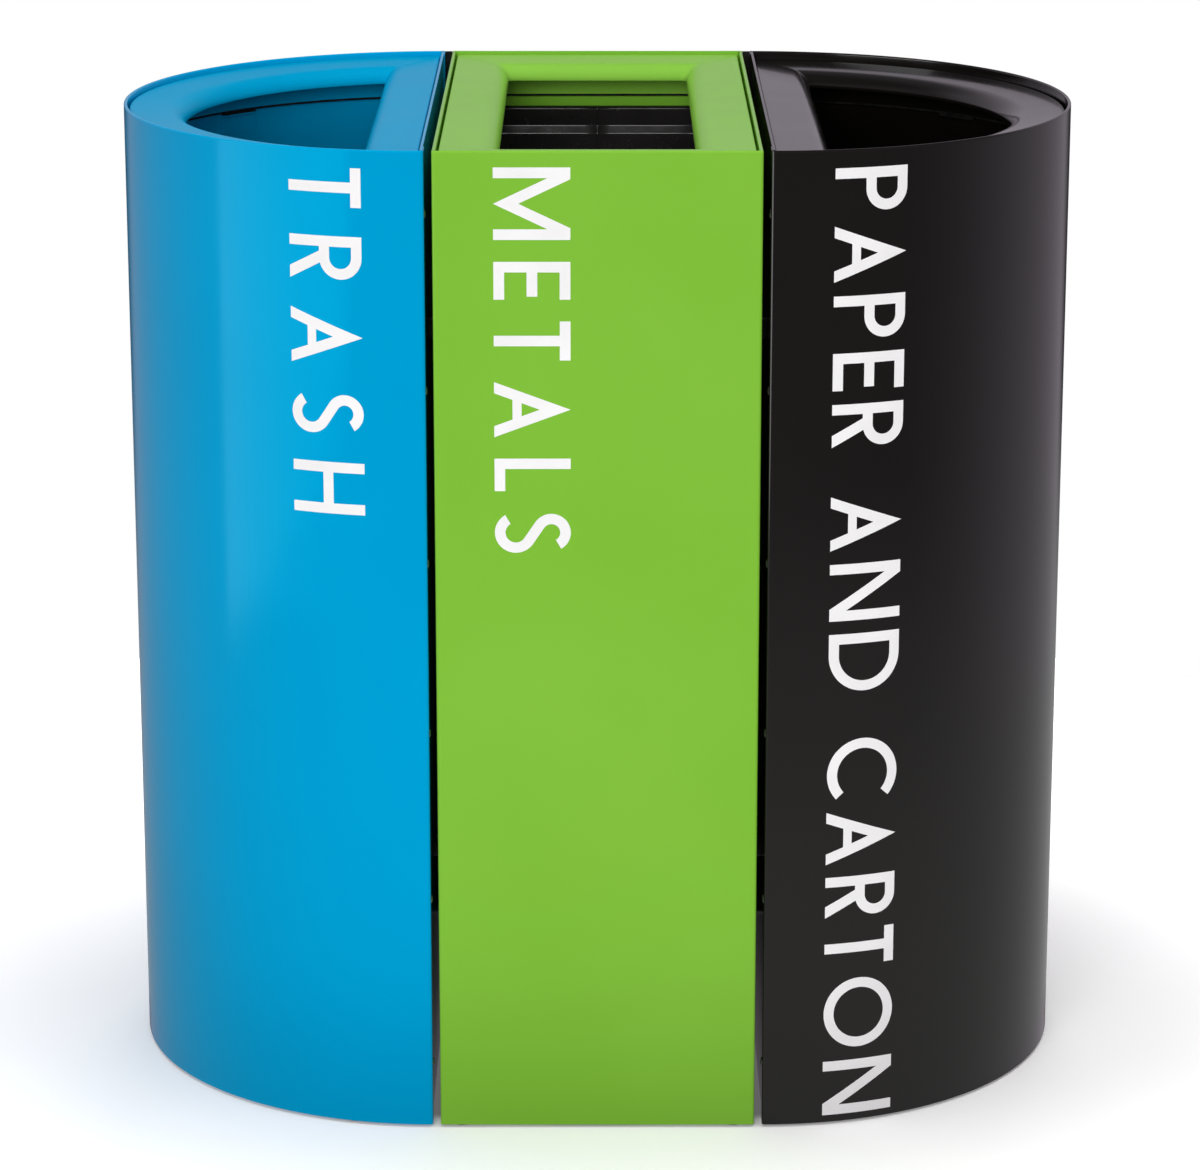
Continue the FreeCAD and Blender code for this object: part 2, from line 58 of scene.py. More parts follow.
MERGE = 1e-6  # points nearer than this, in metres, are one
CORNER_STEPS = 8
ROUND_STEPS = 128
SIDE_SPANS = 12
EDGE_STRIP = 1.5  # the row of faces next to an edge is this narrow, so the shading beside it stays flat
MITRE_LIMIT = 0.3  # keeps the sheet's inner face from shooting out at a sharp turn


# ---- sizes that the frame gives ------------------------------------------------------------------------


def limits(node):
    low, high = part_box(node)
    return low / MM, high / MM


def bay_sizes(bay):
    """What the bay's own pieces say of it."""
    low, high = limits(f"{bay}_shell")
    liner_low, liner_high = limits(f"{bay}_liner")
    lid_low, lid_high = limits(f"{bay}_lid")
    flat = {"left": high.x, "middle": 0, "right": low.x}[bay]
    return {
        "flat": flat,
        "radius": -low.y,
        "half": (high.x - low.x) / 2,
        "bottom": low.z,
        "top": high.z,
        "lid_top": lid_high.z,
        "lid_bottom": lid_low.z,
        "lid_inset": lid_low.y - low.y,
        "liner_inset": liner_low.y - low.y,
        "liner_top": liner_high.z,
        "liner_bottom": liner_low.z,
    }


BAYS = {bay: bay_sizes(bay) for bay in ("left", "middle", "right")}
PAINTS = {"left": "blue_paint", "middle": "green_paint", "right": "black_paint"}


def placed(bay, x, y):
    """From a bay's own plan to the station's. The right bay is the left one turned half round."""
    size = BAYS[bay]
    if bay == "right":
        return size["flat"] - x, -y
    return size["flat"] + x, y


# ---- plan outlines -------------------------------------------------------------------------------------


def arc(x, y, radius, start, end, steps, last=False):
    """Points along an arc, angles in degrees, without its last point unless asked."""
    turns = [start + (end - start) * n / steps for n in range(steps + last)]
    return [(x + radius * math.cos(math.radians(a)), y + radius * math.sin(math.radians(a))) for a in turns]


def side_shares(length, extra=()):
    """Where a flat side has points, from 0 to 1: close to its ends, evenly between, and at extra places."""
    shares = {0.0, EDGE_STRIP / length, 1 - EDGE_STRIP / length, *extra}
    return sorted(shares | {n / SIDE_SPANS for n in range(1, SIDE_SPANS)})


def half_round(bay, inset, corner, extra=()):
    """A half circle to the left of an upright chord, anticlockwise from the chord's front end."""
    radius = BAYS[bay]["radius"] - inset
    x = -inset - corner
    y = math.sqrt((radius - corner) ** 2 - x * x)
    turn = math.degrees(math.atan2(y, x))
    points = [(-inset, y * (2 * share - 1)) for share in side_shares(2 * y, extra)]
    points += arc(x, y, corner, 0, turn, CORNER_STEPS)
    points += arc(0, 0, radius, turn, 360 - turn, ROUND_STEPS)
    points += arc(x, -y, corner, -turn, 0, CORNER_STEPS)
    return points


def rectangle(bay, inset, corner, extra=()):
    """A rounded rectangle, anticlockwise from its front side's left end. extra holds for all four sides."""
    size = BAYS[bay]
    x, y = size["half"] - inset - corner, size["radius"] - inset - corner
    points = []
    for n, (cx, cy) in enumerate(((x, -y), (x, y), (-x, y), (-x, -y))):
        turn = 90 * n - 90
        out = (math.cos(math.radians(turn)) * corner, math.sin(math.radians(turn)) * corner)
        along = (-math.sin(math.radians(turn)), math.cos(math.radians(turn)))
        length = 2 * (x if n % 2 == 0 else y)
        for share in side_shares(length, extra):
            back = length * (1 - share)
            points.append((cx + out[0] - along[0] * back, cy + out[1] - along[1] * back))
        points += arc(cx, cy, corner, turn, turn + 90, CORNER_STEPS)
    return points


def outline(bay, inset, corner, extra=()):
    """The bay's plan in the station's frame."""
    draw = rectangle if bay == "middle" else half_round
    return [placed(bay, x, y) for x, y in draw(bay, inset, corner, extra)]


# ---- profiles of sheet ---------------------------------------------------------------------------------


def offset(points, thickness):
    """The same profile moved to its right-hand side by a sheet's thickness."""
    moved = []
    for n, (a, z) in enumerate(points):
        before, after = points[max(n - 1, 0)], points[min(n + 1, len(points) - 1)]
        normals = []
        for p, q in ((before, (a, z)), ((a, z), after)):
            length = math.hypot(q[0] - p[0], q[1] - p[1])
            if length > 1e-9:
                normals.append(((q[1] - p[1]) / length, (p[0] - q[0]) / length))
        nx, nz = (sum(part) / len(normals) for part in zip(*normals))
        stretch = max(nx * nx + nz * nz, MITRE_LIMIT)
        moved.append((a + nx * thickness / stretch, z + nz * thickness / stretch))
    return moved


# ---- meshes --------------------------------------------------------------------------------------------


def make_object(name, points, faces, sharp=32):
    """A closed mesh in metres, doubles merged, faces outwards, smooth but for its sharp edges."""
    mesh = bpy.data.meshes.new(name)
    mesh.from_pydata([Vector(p) * MM for p in points], [], faces)
    shape = bmesh.new()
    shape.from_mesh(mesh)
    bmesh.ops.remove_doubles(shape, verts=shape.verts, dist=MERGE)
    bmesh.ops.dissolve_degenerate(shape, edges=shape.edges, dist=MERGE)
    bmesh.ops.recalc_face_normals(shape, faces=shape.faces)
    shape.to_mesh(mesh)
    shape.free()
    mesh.polygons.foreach_set("use_smooth", [True] * len(mesh.polygons))
    mesh.set_sharp_from_angle(angle=math.radians(sharp))
    return put_in_scene(name, mesh)


def put_in_scene(name, data):
    thing = bpy.data.objects.new(name, data)
    bpy.context.scene.collection.objects.link(thing)
    return thing


def sweep(rings, cycle=False, capped=False):
    """Points and faces through rings of as many points each.

    cycle joins the last ring to the first, and capped closes both ends.
    """
    count = len(rings[0])
    points = [point for ring in rings for point in ring]
    faces = []
    pairs = [(n, n + 1) for n in range(len(rings) - 1)] + ([(len(rings) - 1, 0)] if cycle else [])
    for low, high in pairs:
        for m in range(count):
            n = (m + 1) % count
            faces.append((low * count + m, low * count + n, high * count + n, high * count + m))
    if capped:
        faces.append(tuple(range(count)))
        faces.append(tuple(range(len(points) - count, len(points))))
    return points, faces


def ride(thing, body, paint=None, nodes=()):
    """Dresses a finished piece and ties it to the frame."""
    if paint:
        thing.data.materials.clear()
        thing.data.materials.append(paint)
    if nodes:
        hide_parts(*nodes)
    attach(thing, body)


# ---- materials -----------------------------------------------------------------------------------------


def linear(code):
    """A colour given as sRGB hex, turned linear."""
    parts = [int(code[n : n + 2], 16) / 255 for n in (0, 2, 4)]
    turned = [c / 12.92 if c <= 0.04045 else ((c + 0.055) / 1.055) ** 2.4 for c in parts]
    return (*turned, 1.0)


def add(tree, kind, settings=None, inputs=None):
    """A node with its settings, and its inputs as numbers or as links from other nodes' outputs."""
    made = tree.nodes.new(kind)
    for key, value in (settings or {}).items():
        setattr(made, key, value)
    for key, value in (inputs or {}).items():
        if isinstance(value, bpy.types.NodeSocket):
            tree.links.new(value, made.inputs[key])
        else:
            made.inputs[key].default_value = value
    return made


def times(tree, one, other):
    return add(tree, "ShaderNodeMath", {"operation": "MULTIPLY"}, {0: one, 1: other}).outputs[0]


def new_material(name):
    material = bpy.data.materials.new(name)
    material.use_nodes = True
    material.node_tree.nodes.clear()
    return material, material.node_tree


def grain(tree, size, detail):
    """Noise on the piece's own coordinates, its features about size millimetres across."""
    place = add(tree, "ShaderNodeTexCoord").outputs["Object"]
    inputs = {"Vector": place, "Scale": 1 / (size * MM), "Detail": detail}
    return add(tree, "ShaderNodeTexNoise", inputs=inputs).outputs["Fac"]


def blend_colours(tree, share, one, other):
    mix = add(tree, "ShaderNodeMix", {"data_type": "RGBA"}, {0: share, 6: one, 7: other})
    return mix.outputs[2]


def spread(tree, value, low, high):
    """A noise value stretched from low to high."""
    inputs = {"Value": value, "From Min": 0.3, "From Max": 0.7, "To Min": low, "To Max": high}
    return add(tree, "ShaderNodeMapRange", inputs=inputs).outputs["Result"]


def ramp(tree, value, start, end, low, high):
    """A value eased from low to high as another goes from start to end."""
    inputs = {"Value": value, "From Min": start, "From Max": end, "To Min": low, "To Max": high}
    return add(tree, "ShaderNodeMapRange", {"interpolation_type": "SMOOTHSTEP"}, inputs).outputs["Result"]


def mottled(tree, size, detail, deep, pale):
    """A colour that drifts between two, in clouds about size millimetres across."""
    cloud = spread(tree, grain(tree, size, detail), 0.0, 1.0)
    return blend_colours(tree, cloud, linear(deep), linear(pale))


def finish_material(tree, inputs, bumps=()):
    """The surface shader. bumps are (height, depth in millimetres), laid one on another."""
    normal = None
    for height, depth in bumps:
        settings = {"Height": height, "Distance": depth * MM, "Strength": 1.0}
        if normal:
            settings["Normal"] = normal
        normal = add(tree, "ShaderNodeBump", inputs=settings).outputs["Normal"]
    if normal:
        inputs = {**inputs, "Normal": normal}
    shader = add(tree, "ShaderNodeBsdfPrincipled", inputs=inputs)
    add(tree, "ShaderNodeOutputMaterial", inputs={"Surface": shader.outputs["BSDF"]})


def powder_coat(name, deep, pale, ior=1.5, coat=0.0, rough=0.12, peel=0.006, cast=(1, 1, 1, 1)):
    """Gloss polyester powder coat on steel, cured in an oven.

    It gives a deep even colour, clear soft-edged reflections, and the faint orange peel of flowed powder. A
    bright pigment near the surface gives the reflections a cast of its own colour.
    """
    material, tree = new_material(name)
    inputs = {
        "Base Color": mottled(tree, 220, 3, deep, pale),
        "Roughness": spread(tree, grain(tree, 60, 3), rough, rough + 0.05),
        "IOR": ior,
        "Specular Tint": cast,
        "Coat Weight": coat,
        "Coat Roughness": 0.05,
    }
    # Orange peel has waves of 1 to 3 mm; 5 mm is as fine as shows.
    finish_material(tree, inputs, [(grain(tree, 5.0, 1), peel)])
    return material


def moulded_liner():
    """Injection-moulded black polyethylene with a fine spark-eroded grain: a soft, greyish sheen."""
    material, tree = new_material("moulded_polyethylene")
    inputs = {
        "Base Color": mottled(tree, 90, 4, "1E1C1D", "2A2728"),
        "Roughness": spread(tree, grain(tree, 14, 4), 0.2, 0.28),
        "IOR": 1.52,
    }
    finish_material(tree, inputs, [(grain(tree, 2.4, 1), 0.005), (grain(tree, 30, 2), 0.06)])
    return material


def moulded_rubber():
    """Moulded EPDM rubber: matt black, dusted grey by handling."""
    material, tree = new_material("moulded_rubber")
    inputs = {
        "Base Color": mottled(tree, 8, 4, "141414", "282726"),
        "Roughness": spread(tree, grain(tree, 3, 3), 0.72, 0.9),
        "IOR": 1.5,
    }
    finish_material(tree, inputs, [(grain(tree, 0.8, 2), 0.03)])
    return material


def plated_steel():
    """Bright zinc-plated steel: cool grey metal with cloudy patches from the bath."""
    material, tree = new_material("zinc_plated_steel")
    inputs = {
        "Base Color": mottled(tree, 4, 4, "B4B8BC", "D8DADA"),
        "Metallic": 1.0,
        "Roughness": spread(tree, grain(tree, 2.5, 4), 0.22, 0.42),
    }
    finish_material(tree, inputs, [(grain(tree, 1.0, 3), 0.01)])
    return material


def rivet_aluminium():
    """Pressed aluminium rivet heads: pale satin metal, burnished on the crown by the riveting tool."""
    material, tree = new_material("pressed_aluminium")
    inputs = {
        "Base Color": mottled(tree, 3, 3, "C9CACB", "E2E2E0"),
        "Metallic": 1.0,
        "Roughness": spread(tree, grain(tree, 1.5, 3), 0.26, 0.44),
    }
    finish_material(tree, inputs, [(grain(tree, 0.9, 3), 0.012)])
    return material


def turned_nylon():
    """Black nylon turned on a lathe: a soft sheen over fine tool rings."""
    material, tree = new_material("turned_nylon")
    inputs = {
        "Base Color": mottled(tree, 6, 3, "141414", "1E1D1D"),
        "Roughness": spread(tree, grain(tree, 2, 3), 0.38, 0.52),
        "IOR": 1.53,
    }
    finish_material(tree, inputs, [(grain(tree, 1.0, 2), 0.015)])
    return material


def cut_vinyl():
    """White cut vinyl film: satin, very slightly uneven where it was rubbed down."""
    material, tree = new_material("cut_vinyl_film")
    inputs = {
        "Base Color": mottled(tree, 40, 3, "F6F6F5", "FDFDFC"),
        "Roughness": spread(tree, grain(tree, 12, 3), 0.32, 0.42),
        "IOR": 1.5,
    }
    finish_material(tree, inputs, [(grain(tree, 9.0, 2), 0.01)])
    return material


# The casts and the low IORs keep a room full of white light from greying the two bright colours.
BLUE_CAST = (0, 0.9, 1, 1)
GREEN_CAST = (0.6, 1, 0.35, 1)
MATERIALS = {
    "blue_paint": powder_coat("gloss_blue_powder_coat", "009ED2", "00A2D7", 1.35, cast=BLUE_CAST),
    "green_paint": powder_coat("gloss_green_powder_coat", "7EBE38", "83C23E", 1.3, cast=GREEN_CAST),
    "black_paint": powder_coat("gloss_black_powder_coat", "100E0C", "151210", coat=0.35),
    "liner_plastic": moulded_liner(),
    "foot_rubber": moulded_rubber(),
    "zinc_steel": plated_steel(),
    "rivet_steel": rivet_aluminium(),
    "spacer_plastic": turned_nylon(),
}
# The bright lids get their own copies of the paints, rougher and with low IORs, so that the ceiling barely
# shows in them. Their colours are matched to the lids as lit from above, so where they differ from the
# walls' colours that is painted light and shade.
LID_PAINTS = {
    "left": powder_coat("lid_blue_powder_coat_lit_copy", "009AC9", "009FCE", 1.06, rough=0.2),
    "middle": powder_coat("lid_green_powder_coat_lit_copy", "84C042", "88C448", 1.15, rough=0.2),
    "right": MATERIALS["black_paint"],
}
VINYL = cut_vinyl()


# ---- casings -------------------------------------------------------------------------------------------

WALLS = bpy.data.collections.new("walls")  # what the left mirror light shows in
RETURN_FLANGE = 24  # how far the wall's ends turn back along the closing side
HEM = 3.6  # the folded edge's thickness
HEM_DEPTH = 12
HEM_EASE = 0.4  # the rounding of the fold's cut edge


def wall_profile(bay, hemmed):
    """The sheet's section as (inset, height), up the wall's outside, over the top and down the inside."""
    low, top = BAYS[bay]["bottom"], BAYS[bay]["top"]
    inner = HEM if hemmed else GAUGE
    radius = (inner - FILM) / 2
    start = top - radius
    points = [(FILM, low), (FILM, low + EDGE_STRIP), (FILM, start - EDGE_STRIP)]
    points += arc(FILM + radius, start, radius, 180, 0, 10, last=True)
    points += [(inner, top - HEM_DEPTH + HEM_EASE), (inner - (HEM_EASE if hemmed else 0), top - HEM_DEPTH)]
    points += [(GAUGE, top - HEM_DEPTH), (GAUGE, low + EDGE_STRIP), (GAUGE, low)]
    return points


def wall_stations(bay):
    """Where the sheet's section stands, from one return flange's edge round the wall to the other's.

    Gives (index on the outline, hemmed) for each, and the shares of the closing side where the flanges end.
    """
    size = BAYS[bay]
    if bay == "middle":
        reach = size["half"]
        run = 2 * (reach - BEND)
    else:
        reach = size["radius"]
        run = 2 * math.sqrt((reach - BEND) ** 2 - BEND**2)
    share = (RETURN_FLANGE - (reach - run / 2)) / run
    extra = (share, 1 - share)
    shares = side_shares(run, extra)
    side = len(shares)
    if bay == "middle":
        back, whole = 2 * (side + CORNER_STEPS), 4 * (side + CORNER_STEPS)
    else:
        back, whole = 0, side + CORNER_STEPS + ROUND_STEPS + CORNER_STEPS
    begin, end = back + shares.index(1 - share), back + shares.index(share) + whole
    first, last = back + side + CORNER_STEPS, back - CORNER_STEPS + whole
    stations = [(n, False) for n in range(begin, first + 1)]
    stations += [(n, True) for n in range(first, last + 1)]
    stations += [(n, False) for n in range(last, end + 1)]
    return [(n % whole, hemmed) for n, hemmed in stations], extra


def make_casing(bay):
    stations, extra = wall_stations(bay)
    plain, hemmed = wall_profile(bay, False), wall_profile(bay, True)
    plans = {}
    for inset, _ in plain + hemmed:
        if inset not in plans:
            plans[inset] = outline(bay, inset, max(BEND - inset, LEAST_BEND), extra)
    rings = []
    for n, folded in stations:
        section = hemmed if folded else plain
        rings.append([(*plans[inset][n], z) for inset, z in section])
    points, faces = sweep(rings, capped=True)
    thing = make_object(f"{bay}_casing_wall", points, faces)
    WALLS.objects.link(thing)
    paint = PAINTS[bay]
    ride(thing, "casings", MATERIALS[paint], [f"{bay}_shell"])


# ---- lids ----------------------------------------------------------------------------------------------

LID_BEND = 1.6  # from the skirt to the border
LID_CORNER = 2
BORDER = 37  # from the lid's outer edge to where it rolls down
BORDER_FALL = 3.0
OPENING_INSET = 53.4  # from the lid's outer edge to the opening's
DISH = 16.4  # how far below the lid's top the opening's edge lies
ROLL_END = 75  # the roll's slope at the opening, in degrees
ROLL_STEPS = 12
LIP = 2.4  # the turned-down edge of the opening
OPENING_CORNERS = {"left": 1.6, "middle": 7, "right": 1.6}


def lid_profile(bay):
    """The lid's upper face as (inset, height), from the skirt's foot to the lip's."""
    size = BAYS[bay]
    edge, foot, top = size["lid_inset"], size["lid_bottom"], size["lid_top"]
    points = [(edge, foot), (edge, foot + EDGE_STRIP), (edge, top - LID_BEND - 2)]
    points += arc(edge + LID_BEND, top - LID_BEND, LID_BEND, 180, 90, 6, last=True)
    for share in (0.06, 0.3, 0.65, 0.94):
        points.append((edge + LID_BEND + share * (BORDER - LID_BEND), top - share * BORDER_FALL))
    # The roll is part of an ellipse that leaves the border at the border's own slope.
    turn_in, turn_out = math.atan2(BORDER_FALL, BORDER - LID_BEND), math.radians(ROLL_END)
    radius = (OPENING_INSET - BORDER) / (math.sin(turn_out) - math.sin(turn_in))
    squeeze = (DISH - BORDER_FALL) / (radius * (math.cos(turn_in) - math.cos(turn_out)))
    for n in range(ROLL_STEPS + 1):
        turn = turn_in + (turn_out - turn_in) * n / ROLL_STEPS
        across = radius * (math.sin(turn) - math.sin(turn_in))
        down = radius * (math.cos(turn_in) - math.cos(turn)) * squeeze
        points.append((edge + BORDER + across, top - BORDER_FALL - down))
    opening = edge + OPENING_INSET
    points += [(opening, top - DISH - LIP / 3), (opening, top - DISH - LIP)]
    return points


def make_lid(bay):
    upper = lid_profile(bay)
    section = upper + offset(upper, GAUGE)[::-1]
    edge = BAYS[bay]["lid_inset"]
    rings = []
    for inset, z in section:
        share = min(max((inset - edge) / OPENING_INSET, 0), 1)
        corner = LID_CORNER + (OPENING_CORNERS[bay] - LID_CORNER) * share**1.5
        rings.append([(x, y, z) for x, y in outline(bay, inset, corner)])
    points, faces = sweep(rings, cycle=True)
    thing = make_object(f"{bay}_dished_lid", points, faces, sharp=40)
    ride(thing, f"{bay}_lid", LID_PAINTS[bay], [f"{bay}_lid"])


SHADOW_STRIP_HEIGHT = 2.2  # how high the dark strip along the skirt's foot stands, which paints the shadow line under the skirt
SHADOW_STRIP_SIDE = 0.7  # how thick it is on each side of the sheet


def make_shadow_strip(bay):
    """Black rubber trim pushed over the skirt's bare edge, which paints the dark shadow line under the
    skirt.
    """
    size = BAYS[bay]
    low, high = size["lid_bottom"] + 0.1, size["lid_bottom"] + SHADOW_STRIP_HEIGHT
    out, back = size["lid_inset"] - SHADOW_STRIP_SIDE, size["lid_inset"] + GAUGE + SHADOW_STRIP_SIDE
    section = [(out + 0.3, low), (out, low + 0.4), (out, high - 0.5), (out + 0.4, high)]
    section += [(back - 0.4, high), (back, high - 0.5), (back, low + 0.4), (back - 0.3, low)]
    rings = [[(x, y, z) for x, y in outline(bay, inset, LID_CORNER)] for inset, z in section]
    points, faces = sweep(rings, cycle=True)
    thing = make_object(f"{bay}_skirt_edging", points, faces)
    ride(thing, f"{bay}_lid", MATERIALS["foot_rubber"])


# ---- liners --------------------------------------------------------------------------------------------

LINERS = bpy.data.collections.new("liners")  # what the light from above the openings shows in
LINER_CORNER = 30
LINER_BAND, LINER_NECK = 6, 12  # insets of the band under the rim, and of the neck under the band
LINER_SHOULDER, LINER_WAIST = 18, 25  # how far below the rim the band ends and the neck begins
RIM_SKIRT = 14  # how far the rim's outer edge hangs down
INNER_FACE = 15  # the point of the section from which it runs down the inner wall
CHANNEL = 1.6  # half the width of the moulded channel down the middle liner's end walls
CHANNEL_DEPTH = 1.6
CHANNEL_CUTS = (-2.2, -1.4, -1, -0.6, 0, 0.6, 1, 1.4, 2.2)  # where the wall has points, in half widths


def liner_profile(bay):
    """(inset, height) from the floor's outside up, over the rim and down to the floor's inside."""
    size = BAYS[bay]
    rim, low, edge = size["liner_top"], size["liner_bottom"], size["liner_inset"]
    band, neck = edge + LINER_BAND, edge + LINER_NECK
    shoulder, waist = rim - LINER_SHOULDER, rim - LINER_WAIST
    points = [(neck + 20, low), (neck + 14, low + 6), (neck, waist), (band, shoulder), (band, rim - 3)]
    points += [(edge + 2, rim - 3), (edge + 2, rim - RIM_SKIRT), (edge, rim - RIM_SKIRT), (edge, rim - 3.5)]
    points += arc(edge + 2, rim - 2, 2, 180, 90, 5, last=True)
    points += arc(band - 0.6, rim - 3.6, 3.6, 90, 0, 8, last=True)
    points += [(band + 3, shoulder)]
    points += arc(band + 5, shoulder - 1, 2, 180, 220, 4, last=True)
    points += arc(neck + 1.4, waist - 2.8, 1.6, 50, 0, 4, last=True)
    points += [(neck + 3.1, waist - 6.5)]
    points += [(neck + 16.6, low + 16), (neck + 18, low + 9), (neck + 22, low + 4.6), (neck + 30, low + 3)]
    return points


def make_liner(bay):
    size = BAYS[bay]
    section = liner_profile(bay)
    length = 2 * (size["radius"] - size["liner_inset"] - LINER_CORNER)
    extra = tuple(0.5 + CHANNEL * cut / length for cut in CHANNEL_CUTS)
    rim = size["liner_top"] - 1
    rings = []
    for n, (inset, z) in enumerate(section):
        ring = []
        grooved = bay == "middle" and n > INNER_FACE and z < rim
        for x, y in outline(bay, inset, LINER_CORNER, extra):
            if grooved and abs(x) < 3 * CHANNEL and abs(y) > size["half"]:
                share = min(max(1.4 - abs(x) / CHANNEL, 0), 1)
                y -= math.copysign(CHANNEL_DEPTH * share, y)
            ring.append((x, y, z))
        rings.append(ring)
    points, faces = sweep(rings, capped=True)
    thing = make_object(f"{bay}_moulded_liner", points, faces, sharp=40)
    LINERS.objects.link(thing)
    ride(thing, f"{bay}_liner", MATERIALS["liner_plastic"], [f"{bay}_liner"])


# ---- fasteners, feet and spacers -----------------------------------------------------------------------


def turned(name, profile, steps=24, socket=()):
    """A piece turned on a lathe: profile runs from axis to axis as (radius, height).

    The radii numbered in socket follow a hexagon, which is how a driver's recess is made.
    """
    points, faces, rows = [], [], []
    sixth, twelfth = math.pi / 3, math.pi / 6
    for n, (radius, z) in enumerate(profile):
        row = []
        for m in range(1 if radius == 0 else steps):
            turn = 2 * math.pi * m / steps
            reach = radius
            if n in socket:
                reach *= math.cos(twelfth) / math.cos((turn + twelfth) % sixth - twelfth)
            row.append(len(points))
            points.append((reach * math.cos(turn), reach * math.sin(turn), z))
        rows.append(row)
    for low, high in zip(rows, rows[1:]):
        for m in range(steps):
            n = (m + 1) % steps
            corners = [low[m % len(low)], low[n % len(low)], high[n % len(high)], high[m % len(high)]]
            face = [c for k, c in enumerate(corners) if c not in corners[:k]]
            if len(face) > 2:
                faces.append(face)
    return make_object(name, points, faces)


def ring_of(name, profile, steps=32):
    """A turned piece with a bore, whose profile is a closed section as (radius, height)."""
    turns = [2 * math.pi * m / steps for m in range(steps)]
    rings = [[(r * math.cos(a), r * math.sin(a), z) for a in turns] for r, z in profile]
    points, faces = sweep(rings, cycle=True)
    return make_object(name, points, faces)


def set_of_pieces():
    """Geometry nodes: a small piece at every point, turned to its side and by chance about its own axis."""
    tree = bpy.data.node_groups.new("set_of_pieces", "GeometryNodeTree")
    sockets = {
        "Places": "Geometry", "Piece": "Object", "Finish": "Material", "Turn": "Vector",
        "Size": "Float", "Loose turn": "Float", "Seed": "Int",
    }
    for name, kind in sockets.items():
        tree.interface.new_socket(name, in_out="INPUT", socket_type=f"NodeSocket{kind}")
    tree.interface.new_socket("Set", in_out="OUTPUT", socket_type="NodeSocketGeometry")
    given = add(tree, "NodeGroupInput").outputs
    piece = add(tree, "GeometryNodeObjectInfo", inputs={"Object": given["Piece"]}).outputs["Geometry"]
    inputs = {"Points": given["Places"], "Instance": piece}
    inputs |= {"Rotation": given["Turn"], "Scale": given["Size"]}
    stood = add(tree, "GeometryNodeInstanceOnPoints", inputs=inputs).outputs["Instances"]
    inputs = {3: given["Loose turn"], 8: given["Seed"]}
    chance = add(tree, "FunctionNodeRandomValue", {"data_type": "FLOAT"}, inputs)
    about = add(tree, "ShaderNodeCombineXYZ", inputs={"Z": chance.outputs[1]}).outputs["Vector"]
    turned_set = add(tree, "GeometryNodeRotateInstances", inputs={"Instances": stood, "Rotation": about})
    real = add(tree, "GeometryNodeRealizeInstances", inputs={"Geometry": turned_set.outputs["Instances"]})
    inputs = {"Geometry": real.outputs["Geometry"], "Material": given["Finish"]}
    painted = add(tree, "GeometryNodeSetMaterial", inputs=inputs)
    add(tree, "NodeGroupOutput", inputs={"Set": painted.outputs["Geometry"]})
    return tree


PIECE_SET = set_of_pieces()


def solid_places(node):
    """The centre of each separate solid of a CAD node, in metres."""
    shape = bmesh.new()
    shape.from_mesh(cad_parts[node].data)
    bmesh.ops.remove_doubles(shape, verts=shape.verts, dist=MERGE)
    left, centres = set(shape.verts), []
    while left:
        group, todo = set(), [min(left, key=lambda vert: vert.index)]
        while todo:
            vert = todo.pop()
            if vert in group:
                continue
            group.add(vert)
            todo += [edge.other_vert(vert) for edge in vert.link_edges]
        left -= group
        low = Vector([min(vert.co[k] for vert in group) for k in range(3)])
        high = Vector([max(vert.co[k] for vert in group) for k in range(3)])
        centres.append((low + high) / 2)
    shape.free()
    return sorted(centres, key=lambda c: (round(c.z, 5), round(c.y, 5), round(c.x, 5)))


def make_set(name, node, body, piece, slot, turn=(0, 0, 0), shift=(0, 0, 0), loose=2 * math.pi, seed=1):
    """Stands a small piece at each solid of a CAD node, moved by shift, and replaces the node."""
    places = [centre + Vector(shift) * MM for centre in solid_places(node)]
    mesh = bpy.data.meshes.new(name)
    mesh.from_pydata(places, [], [])
    thing = put_in_scene(name, mesh)
    modifier = thing.modifiers.new("set", "NODES")
    modifier.node_group = PIECE_SET
    values = {"Piece": piece, "Finish": MATERIALS[slot], "Turn": turn, "Size": 1.0}
    values |= {"Loose turn": loose, "Seed": seed}
    for socket in PIECE_SET.interface.items_tree:
        if socket.in_out == "INPUT" and socket.name in values:
            modifier[socket.identifier] = values[socket.name]
    bpy.context.view_layer.update()
    ready = thing.evaluated_get(bpy.context.evaluated_depsgraph_get())
    thing.data = bpy.data.meshes.new_from_object(ready)
    thing.modifiers.clear()
    ride(thing, body, None, [node])


QUARTER = math.pi / 2
SEAT_SHIFT = 1.6  # from the middle of a CAD rivet, 1.2 proud of its seat and 4.4 deep, to that seat
SPACER_HALF = 4.1

# Sections as (radius, height), with the seat at zero.
RIVET = [
    (0, -4.4), (1.6, -4.3), (2.7, -3.7), (3.0, -3.2), (2.8, -2.6), (2.0, -2.4), (2.0, 0), (4.0, 0),
    (4.0, 0.25), (3.7, 0.6), (3.0, 0.92), (2.1, 1.12), (1.3, 1.2), (1.1, 1.0), (1.05, 0.6), (0, 0.6),
]
FOOT = [
    (2.45, 5), (6.0, 5), (6.0, 0.5), (6.5, 0), (9.2, 0), (9.6, 0.5), (10.4, 0.5), (10.8, 0), (13.6, 0),
    (14.6, 0.4), (15.0, 1.4), (15.0, 10.8), (14.7, 11.6), (14.0, 12), (2.45, 12),
]
FOOT_SCREW = [
    (0, 2.9), (1.3, 3.3), (1.5, 2.2), (1.55, 0.45), (1.7, 0.1), (3.1, 0), (4.1, 0.35), (4.6, 1.1),
    (4.75, 2.0), (4.75, 3.0), (2.4, 3.0), (2.4, 15.6), (2.0, 16), (0, 16),
]
SPACER = [
    (3.1, -SPACER_HALF), (9.5, -SPACER_HALF), (10, -3.6), (10, -2.0), (9.8, -1.8), (10, -1.6), (10, 1.6),
    (9.8, 1.8), (10, 2.0), (10, 3.6), (9.5, SPACER_HALF), (3.1, SPACER_HALF),
]


